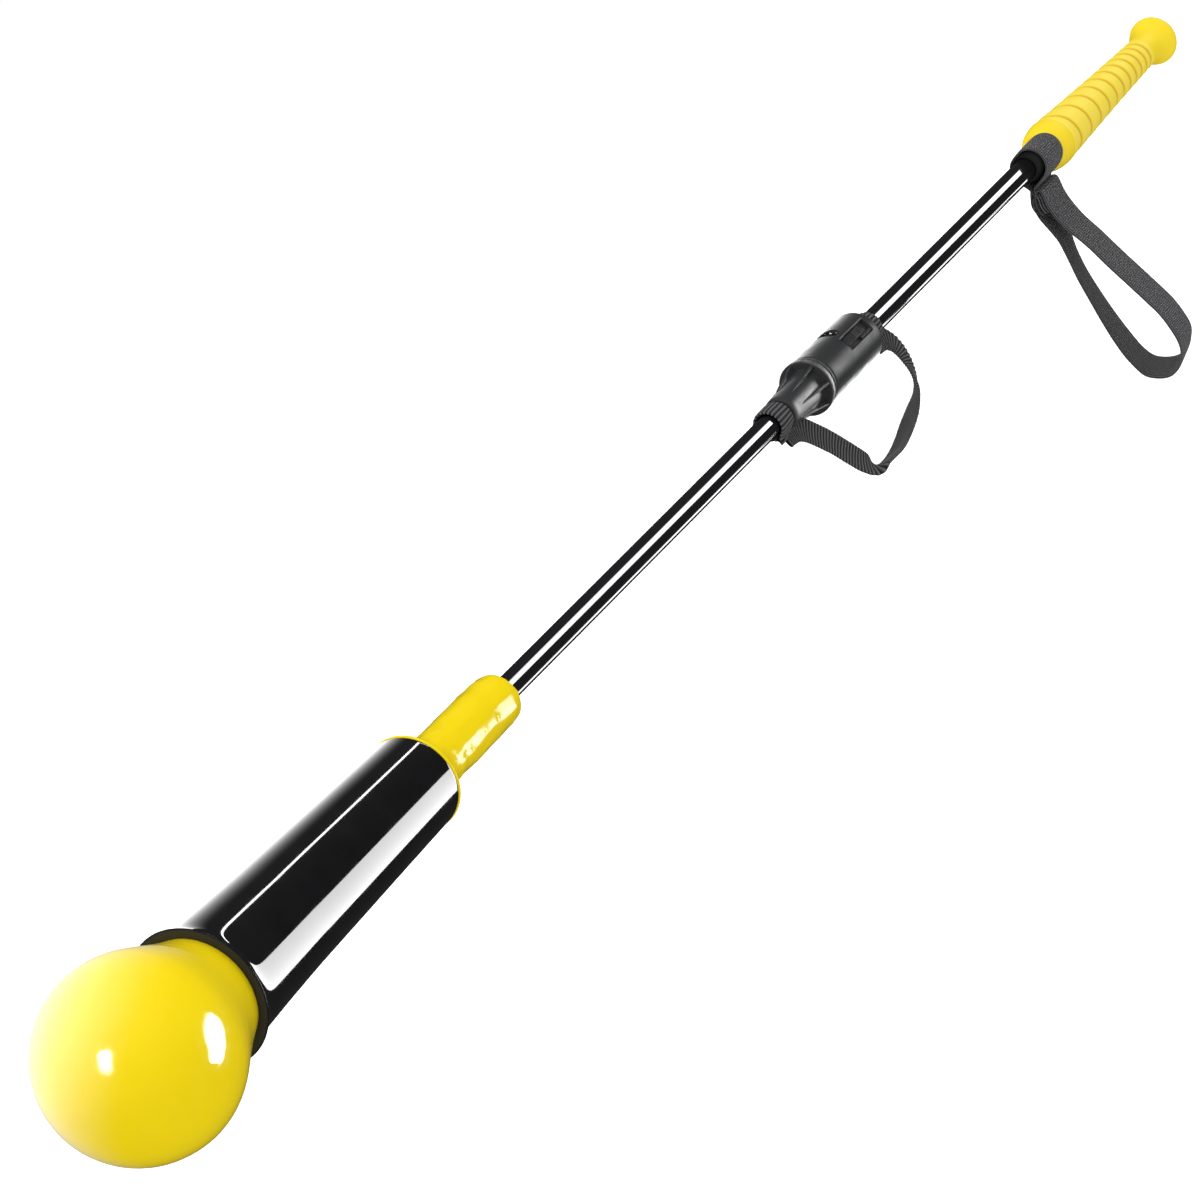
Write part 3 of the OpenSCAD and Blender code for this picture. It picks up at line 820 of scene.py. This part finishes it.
def sweep_band(name, path, widths, width, thickness, ribs=0.0, cup=0.0, cells=14, ragged=0.0):
    """A strap: a thin closed band with soft edges that follows a path.

    path and widths are points and across-directions in the frame, in metres. ribs is the height
    of the crosswise ribs, cup how far the middle bows, and ragged how uneven the edges are.
    """
    count = len(path)
    vertices, uv, distance = [], [], 0.0
    half = width / 2
    columns = [-1 + 2 * k / cells for k in range(cells + 1)]
    for i in range(count):
        tangent = (path[min(i + 1, count - 1)] - path[max(i - 1, 0)]).normalized()
        across = (widths[i] - tangent * widths[i].dot(tangent)).normalized()
        normal = tangent.cross(across)
        if i:
            distance += (path[i] - path[i - 1]).length
        rib = ribs * (0.5 - 0.5 * math.cos(math.tau * distance / RIB_PITCH)) if ribs else 0.0
        swell = 0.7 * (rib / ribs - 0.5) if ribs else 0.0
        wobble = 1 + ragged * (noise.noise(Vector((distance * 900, 3.1, 0))) + swell)
        top, low = [], []
        for c in columns:
            edge = 1 - 0.75 * abs(c) ** 10
            lift = (thickness / 2 + rib) * edge
            place = path[i] + across * (c * half * wobble) - normal * (cup * (1 - c * c))
            top.append(place + normal * lift)
            low.append(place - normal * lift)
        vertices += top + low[::-1]
        row = [(distance, c * half) for c in columns]
        uv += row + row[::-1]
    faces = capped_faces(count, 2 * len(columns))
    return mesh_object(name, vertices, faces, 55, uv=uv), distance


def resampled(points, step):
    """Points at even steps along a polyline, with any further columns carried along."""
    out, carry = [points[0]], 0.0
    for a, b in zip(points, points[1:]):
        length = (Vector(b[:3]) - Vector(a[:3])).length
        while carry + length >= step:
            t = (step - carry) / length
            a = a + (b - a) * t
            length = (Vector(b[:3]) - Vector(a[:3])).length
            carry = 0.0
            out.append(a)
        carry += length
    return out


def band_along(name, stops, width, thickness, step, **shape):
    """A band through stops of (station, y, z, across x, across y, across z), in millimetres."""
    dense = resampled(curve_through([Vector(s) for s in stops], 24), step)
    path = [Vector((at(p[0]), p[1] * MM, p[2] * MM)) for p in dense]
    widths = [Vector(p[3:6]).normalized() for p in dense]
    return sweep_band(name, path, widths, width, thickness, **shape)


TETHER_W, TETHER_T = 0.0125, 0.0012
TETHER_STOPS = [
    (591, 0, -8.3, 1, 0, 0), (596.5, 0, -8.6, 1, 0, 0.1), (602, 0, -9.6, 0.9, -0.05, 0.35),
    (607.5, 0, -12.6, 0.8, -0.1, 0.55), (614, 0, -19, 0.76, -0.1, 0.6),
    (620.5, 0, -26.5, 0.74, -0.1, 0.6), (626.5, 0, -35, 0.7, -0.1, 0.62),
    (632, 0, -42.5, 0.68, -0.05, 0.62), (637.5, 0, -47.8, 0.62, 0.2, 0.5),
    (642.5, 0, -49.8, 0.2, 0.9, 0.2), (649, 0, -50.9, 0, 1, 0), (661, 0, -50.9, 0, 1, 0),
    (674, 0, -48.7, 0, 1, 0), (687, 0, -45.2, 0.05, 1, 0), (699, 0, -41, 0.35, 0.85, -0.1),
    (708.5, 0, -36.4, 0.75, 0.6, -0.15), (715, 0, -30, 0.92, 0.36, -0.1), (717.8, 0, -22, 0.98, 0.15, 0),
    (717, 0, -14.5, 0.97, 0.05, 0.2), (712.5, 0, -9.4, 0.8, 0, 0.6), (707, 0, -7.8, 1, 0, 0.1),
    (702, 0, -7.6, 1, 0, 0)]


def make_tether():
    """Webbing bow between the two shaft rings."""
    made, length = band_along("tether_webbing", TETHER_STOPS, TETHER_W, TETHER_T, step=0.22,
                              ribs=0.00046, cup=0.0007, ragged=0.035)
    stand_for(made, None, "webbing", WEBBING, "tether_web")
    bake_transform(made)
    return length


def ring_stops(b_mid, path, skew=0.0):
    """Stops of a band whose width lies along the shaft and whose path is (y, z) round it."""
    low = min(z for _, z in path)
    return [(b_mid + skew * max(0.0, z / low) ** 2, y, z, 1, 0, 0) for y, z in path]


def tether_ring_path(r, drop):
    """Round the shaft and down to the two tails that are sewn together."""
    around = [(r * math.cos(math.radians(a)), r * math.sin(math.radians(a))) for a in range(-42, 223, 22)]
    return [(0.75, drop), (1.5, -7.2)] + around + [(-1.7, -7.2), (-0.75, drop)]


def make_tether_rings():
    for name, node, body, mid, r, skew in (
            ("tether_ring_front", "tether_ring_lower", "lower", 590.6, 7.0, 1.5),
            ("tether_ring_rear", "tether_ring_upper", "upper", 701.5, 6.9, 1.0)):
        stops = ring_stops(mid, tether_ring_path(r, -8.8), skew)
        made, _ = band_along(name, stops, 0.013, 0.0011, step=0.22, ribs=0.0004, ragged=0.03)
        stand_for(made, body, "webbing", WEBBING, node)


def thread_stitch(a, b, lift, radius=0.00022):
    """One stitch: a thread that rises out of the cloth at a, lies on it and dives in at b."""
    along = (b - a).normalized()
    side = along.cross(lift).normalized()
    vertices, steps = [], 8
    for i in range(steps + 1):
        t = i / steps
        middle = a + (b - a) * t + lift * (radius * 2.2 * math.sin(math.pi * t) - radius * 0.6)
        vertices += [middle + (side * x + lift * y) * radius for x, y in circle(8)]
    return vertices, capped_faces(steps + 1, 8)


def make_stitching():
    """Bar tacks that close each shaft ring above its tails."""
    for name, body, mid in (("tether_tack_front", "lower", 592.4), ("tether_tack_rear", "upper", 702.3)):
        for side, mark in ((-1, "a"), (1, "b")):
            parts = []
            for row in range(3):
                z = (-7.4 - row * 0.55) * MM
                y = side * (2.05 - 0.18 * row) * MM
                for k in range(9):
                    x = at(mid - 5.0 + 1.15 * k)
                    ends = Vector((x, y, z)), Vector((x + 0.0008, y, z))
                    parts.append(thread_stitch(*ends, Vector((0, side, 0))))
            made = mesh_object(f"{name}_{mark}", *joined(*parts), 60)
            stand_for(made, body, "webbing", THREAD)


STRAP_B = 933.1
STRAP_W = 0.025


def make_strap_ring():
    """The choked turn round the shaft: snug above, bulging on the side where the loop pulls."""
    path = [(2.6, -14.6), (2.3, -12.4), (0.6, -10.5), (-3.0, -9.7), (-7.6, -8.2), (-11.4, -5.2),
            (-13.1, -0.8), (-12.6, 3.6), (-9.9, 7.2), (-5.6, 8.9), (-0.8, 8.2), (3.6, 6.6), (6.6, 3.4),
            (7.4, -0.6), (6.4, -4.6), (4.6, -8.2), (3.6, -11.4), (3.5, -14.6)]
    stops = [(STRAP_B, y, z, 1, 0, 0) for y, z in path]
    made, length = band_along("strap_ring_band", stops, STRAP_W, 0.0015, step=0.5, cells=24)
    stand_for(made, "strap", "elastic", ELASTIC, "strap_ring")
    front, rear = STRAP_B - STRAP_W / MM / 2 + 2.5, STRAP_B + STRAP_W / MM / 2
    cuff = rounded([(front, 5.95, 0.3), (front, 7.0, 0.8), (front + 2, 8.3, 0.8), (rear, 8.3, 0.6),
                    (rear, 5.95, 0.3)], closed=True)

    def sagging(station, radius, angle):
        """Fuller on the side where the loose turn stands off, so that no daylight shows."""
        return radius if radius < 6.5 else radius + 2.6 * max(0.0, -math.cos(angle + 0.25)) ** 2

    made = lathe("strap_cuff", cuff, 128, shape=sagging)
    stand_for(made, "strap", "elastic", RUBBER)
    return length


def make_strap_knot():
    """Gathered folds under the ring, one path for each layer."""
    layers = [
        [(4.2, -11.0), (6.4, -14.0), (8.6, -17.8), (8.9, -21.8), (7.8, -24.6)],
        [(3.6, -12.6), (5.0, -15.6), (6.6, -19.2), (7.0, -22.6), (6.4, -25.0)],
        [(2.4, -13.6), (3.2, -16.6), (4.4, -20.0), (4.6, -23.0), (4.3, -25.0)],
        [(1.2, -14.4), (1.9, -17.8), (2.9, -21.0), (2.9, -23.6), (2.6, -25.2)]]
    for i, layer in enumerate(layers):
        stops = [(STRAP_B - 0.2 * i, y, z, 1, 0, 0) for y, z in layer]
        width = STRAP_W - 0.0006 * (i + 1)
        made, _ = band_along(f"strap_knot_fold_{i + 1}", stops, width, 0.0014, step=0.5, cells=24)
        stand_for(made, "strap", "elastic", ELASTIC, *(["strap_knot"] if i == 0 else []))


def make_wrist_loop():
    """The hanging loop: it turns over the knot, runs down, round and up into the left fold."""
    right = [(3.6, -15.6), (2.6, -13.4), (0.8, -12.6), (-0.5, -14.4), (0.2, -18), (1.2, -23), (1.3, -30),
             (0.0, -39), (-2.9, -50), (-6.0, -65.5), (-9.0, -79), (-11.6, -91), (-13.3, -100), (-13.5, -109),
             (-12.6, -116.5), (-9.5, -122), (-4.5, -126.3), (2.0, -128.2)]
    left = [(9.0, -125.9), (14.6, -121), (17.2, -113), (17.9, -103), (17.6, -90), (16.4, -75), (14.9, -62),
            (12.6, -51), (10.0, -41), (9.0, -33), (9.0, -26.5), (8.6, -21), (6.8, -16.6), (4.6, -14.6)]
    stops = []
    for side, points in ((-1, right), (1, left)):
        for y, z in points:
            turn = math.radians(3 if side < 0 else 13) * smoothstep(-25, -50, z)
            turn *= 1 if side < 0 else 1 - 0.6 * smoothstep(-60, -115, z)
            lift = 0.14 * smoothstep(-112, -124, z)
            stops.append((STRAP_B, y, z, math.cos(turn), math.sin(turn), lift))
    made, length = band_along("wrist_loop_band", stops, STRAP_W, 0.0017, step=0.7, cells=24)
    stand_for(made, None, "elastic", ELASTIC, "wrist_loop")
    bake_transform(made)
    return length


# ---------------------------------------------------------------- the frame's hidden nodes

def finish_hidden_nodes():
    finishes = {
        "head_core": CORE, "head_weight": STEEL, "weight_screw": DARK_STEEL, "shaft_pin": STEEL,
        "slider_carrier": CORE, "carrier_magnet": NICKEL, "grip_core": CORE, "butt_plug": CORE}
    for node, material in finishes.items():
        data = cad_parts[node].data
        data.materials.clear()
        data.materials.append(material)


# ---------------------------------------------------------------- stage and light

CAMERA_B = VIEW_STATION - VIEW_DISTANCE / MM * math.cos(VIEW_TO_AXIS)  # the camera's own station
CAMERA_REACH = VIEW_DISTANCE / MM * math.sin(VIEW_TO_AXIS)  # and its distance from the axis
facing = Vector((0, to_camera.y, to_camera.z)).normalized()  # from the axis to the camera
beside = Vector((1, 0, 0)).cross(facing)
if beside.dot(image_right) < 0:
    beside = -beside


def emission(name, power, soft=None):
    """A glow that other cards' light passes through.

    soft is the share of the card's width over which each of its two edges fades.
    """
    material = bpy.data.materials.new(name)
    material.use_nodes = True
    material.node_tree.nodes.clear()
    n = Nodes(material.node_tree)
    if soft:
        across = n.cloth()[1]
        rise = n.remap(across, 0.0, 1.0, 0.0, soft[0] + 1e-5, smooth=True)
        fall = n.remap(across, 1.0, 0.0, 1 - soft[1], 1 + 1e-5, smooth=True)
        power = n.math("MULTIPLY", n.math("MULTIPLY", rise, fall), power)
    glow = n.add("Emission", {"Strength": power}).outputs[0]
    both = n.add("AddShader", {0: glow, 1: n.add("BsdfTransparent").outputs[0]}).outputs[0]
    n.add("OutputMaterial", {0: both})
    return material


def receivers(name, pieces):
    group = bpy.data.collections.new(name)
    for piece in pieces:
        group.objects.link(bpy.data.objects[piece])
    return group


def reflected_card(made, power, group, soft=None):
    """A card that is seen only in gloss, and only by the pieces of its group."""
    made.data.materials.append(emission(made.name, power, soft))
    made.visible_camera = made.visible_diffuse = made.visible_shadow = False
    made.visible_transmission = False
    made.light_linking.receiver_collection = group


def arc_card(name, b0, b1, turn0, turn1, power, group, soft, distance):
    """A curved card whose mirror image on the shaft lies from b0 to b1.

    turn0 and turn1 are twice the angle of the surface's normal from the side facing the camera,
    positive towards the picture's lower right.
    """
    vertices, uv, steps = [], [], 24
    for i in range(steps + 1):
        a = math.radians(mix(turn0, turn1, i / steps))
        out = (facing * math.cos(a) + beside * math.sin(a)) * distance
        for b in (b0, b1):
            travel = distance * (b - CAMERA_B) / CAMERA_REACH
            vertices.append(out + Vector((at(b) + travel, 0, 0)))
            uv.append((0 if b == b0 else 1, i / steps))
    faces = [(2 * i, 2 * i + 1, 2 * i + 3, 2 * i + 2) for i in range(steps)]
    reflected_card(mesh_object(name, vertices, faces, 0, uv=uv), power, group, soft)


def turned_to(direction):
    """Unit vectors outwards, sideways and up for a direction given as picture (right, up, to camera)."""
    out = (image_right * direction[0] + image_up * direction[1] + to_camera * direction[2]).normalized()
    side = image_up.cross(out).normalized()
    return out, side, out.cross(side)


def ball_card(name, direction, width, height, turn, power, group, distance=0.6):
    """A ragged blob that the ball mirrors, seen from the ball in a direction."""
    out, side, rise = turned_to(direction)
    a = math.radians(turn)
    side, rise = side * math.cos(a) + rise * math.sin(a), rise * math.cos(a) - side * math.sin(a)
    middle = Vector((BALL_X, 0, 0)) + out * distance
    corners = []
    for x, y in circle(40):
        ragged = 1 + 0.22 * noise.noise(Vector((2.4 * x, 2.4 * y, 9 * width)))
        x, y = (math.copysign(abs(v) ** 0.75, v) * ragged for v in (x, y))
        corners.append(middle + side * width * x / 2 + rise * height * y / 2)
    made = mesh_object(name, corners, [tuple(range(40))], 0)
    reflected_card(made, power, group)


def ball_glow(name, direction, spread, power, group, distance=0.6):
    """A cap of a sphere round the ball that is brightest in its middle and fades to nothing."""
    out, side, rise = turned_to(direction)
    rings, spokes = 16, 48
    vertices, uv = [], []
    for i in range(rings + 1):
        a = math.radians(mix(0.5, spread, i / rings))
        for x, y in circle(spokes):
            reach = out * math.cos(a) + (side * x + rise * y) * math.sin(a)
            vertices.append(Vector((BALL_X, 0, 0)) + reach * distance)
            uv.append((0.5, i / rings))
    faces = grid_faces(rings + 1, spokes) + [tuple(range(spokes))]
    reflected_card(mesh_object(name, vertices, faces, 0, uv=uv), power, group, soft=(0.0, 1.0))


def make_world():
    """White to the camera, even to matt surfaces, and nearly black with a soft top to glossy ones."""
    world = bpy.data.worlds.new("studio")
    bpy.context.scene.world = world
    world.use_nodes = True
    world.node_tree.nodes.clear()
    n = Nodes(world.node_tree)
    place = n.add("TexCoord").outputs["Generated"]
    top = tuple(Vector((-0.2, -0.35, 0.92)).normalized())
    dot = n.add("VectorMath", {0: place, 1: top}, operation="DOT_PRODUCT").outputs["Value"]
    sky = n.math("MULTIPLY", n.math("POWER", n.math("MAXIMUM", dot, 0.0), 3.0), 0.35)
    path = n.add("LightPath").outputs
    unseen = n.add("Mix", {0: path["Is Glossy Ray"], 2: 0.97, 3: n.math("ADD", sky, 0.03)}).outputs[0]
    seen = n.add("Mix", {0: path["Is Camera Ray"], 2: unseen, 3: 1.0}).outputs[0]
    background = n.add("Background", {"Color": (1, 1, 1, 1), "Strength": seen}).outputs[0]
    n.add("OutputWorld", {0: background})


def make_floor():
    """A wide pale disc under the hanging strap, lit by its own sun."""
    steps, radius = 96, 7.0
    vertices = [Vector((radius * x, radius * y, FLOOR_Z)) for x, y in circle(steps)]
    made = mesh_object("floor", vertices, [tuple(range(steps))], 0)
    f = Finish("pale_floor", Roughness=1.0)
    paint = f.colours(f.noise(3, 3), (0.90, 0.90, 0.90), (0.93, 0.93, 0.93))
    f.tree.links.new(paint, f.shader.inputs["Base Color"])
    made.data.materials.append(f.material)
    made.visible_glossy = made.visible_shadow = made.visible_diffuse = False
    data = bpy.data.lights.new("floor_sun", "SUN")
    data.energy, data.use_shadow = 2.4, False
    sun = bpy.data.objects.new("floor_sun", data)
    bpy.context.scene.collection.objects.link(sun)
    sun.light_linking.receiver_collection = receivers("sees_floor_sun", ["floor"])


def soft_light(name, place, aim, size, power):
    """A large lamp that lights matt surfaces and isn't mirrored."""
    data = bpy.data.lights.new(name, "AREA")
    data.shape, data.size, data.energy = "DISK", size, power
    lamp = bpy.data.objects.new(name, data)
    bpy.context.scene.collection.objects.link(lamp)
    lamp.location = place
    lamp.rotation_mode = "QUATERNION"
    lamp.rotation_quaternion = (place - aim).to_track_quat("Z", "Y")
    lamp.visible_glossy = False


def make_lights():
    """The cards that each glossy piece mirrors, and one lamp for the matt ones."""
    coupling = ["cone_nut_ribbed", "coupling_body_moulded", "slider_plate_slotted", "slider_tab_tongue"]
    seen_by = {
        "sleeve": ["head_sleeve_gloss"], "tail": ["head_barrel_dip"], "ball": ["head_skin_dip"],
        "shaft": ["lower_shaft_tube", "upper_shaft_tube"], "cone": ["cone_nut_ribbed"],
        "coupling": coupling, "screw": ["body_screw_button", "recess_pip"],
        "grip": ["grip_wrap_tape", "grip_collar_moulded", "grip_knob_moulded"]}
    groups = {name: receivers(f"sees_{name}_cards", pieces) for name, pieces in seen_by.items()}
    arcs = (  # group, part, b0, b1, turn0, turn1, power, soft, distance
        ("sleeve", "band", -60, 1100, 35, 88, 10, None, 0.4),
        ("sleeve", "line", -60, 1100, -59, -54.5, 18, None, 0.5),
        ("sleeve", "veil", -60, 300, -178, -84, 4.2, (0.0, 0.9), 0.5),
        ("tail", "side", 205, 330, 26, 84, 7.5, (0.35, 0.35), 0.5),
        ("shaft", "main", 270, 960, -40, 9, 17, (0.3, 0.04), 0.5),
        ("shaft", "thin", 270, 960, 94, 117, 7, (0.1, 0.1), 0.5),
        ("cone", "side", 440, 700, -14, 116, 9, (0.4, 0.5), 0.5),
        ("coupling", "side", 440, 720, -12, 66, 4.6, (0.45, 0.45), 0.5),
        ("coupling", "top", 560, 740, -180, -66, 4.4, (0.05, 0.9), 0.5),
        ("coupling", "low", 560, 740, 92, 180, 5.5, (0.8, 0.05), 0.5),
        ("screw", "glint", 600, 760, -110, -30, 14, None, 0.5),
        ("grip", "sheen", 930, 1140, -80, 20, 2.6, (0.3, 0.4), 0.5))
    for group, part, *numbers, soft, distance in arcs:
        arc_card(f"card_{group}_{part}", *numbers, groups[group], soft, distance)
    ball_card("card_ball_small", (-0.484, 0.0, 0.874), 0.16, 0.22, 0, 24, groups["ball"])
    ball_card("card_ball_tall", (0.952, 0.24, -0.075), 0.27, 0.40, -10, 26, groups["ball"])
    ball_glow("glow_ball_left", (-0.93, 0.22, -0.1), 95, 4.2, groups["ball"])
    aim = Vector((at(VIEW_STATION), 0, 0))
    soft_light("key", aim - image_right * 1.2 + image_up * 1.6 + to_camera * 1.2, aim, 1.6, 18)


# ---------------------------------------------------------------- assembly

for make in (make_head_skin, make_sleeve, make_mouth_ring, make_barrel, make_shafts, make_spigot,
             make_cone_nut, make_coupling_body, make_screw, make_slider, make_wrap, make_collar, make_knob):
    make()
tether_length = make_tether()
make_tether_rings()
make_stitching()
ring_length = make_strap_ring()
make_strap_knot()
loop_length = make_wrist_loop()
finish_hidden_nodes()
make_world()
make_floor()
make_lights()
print("strap lengths, m:", round(tether_length, 4), round(ring_length, 4), round(loop_length, 4))
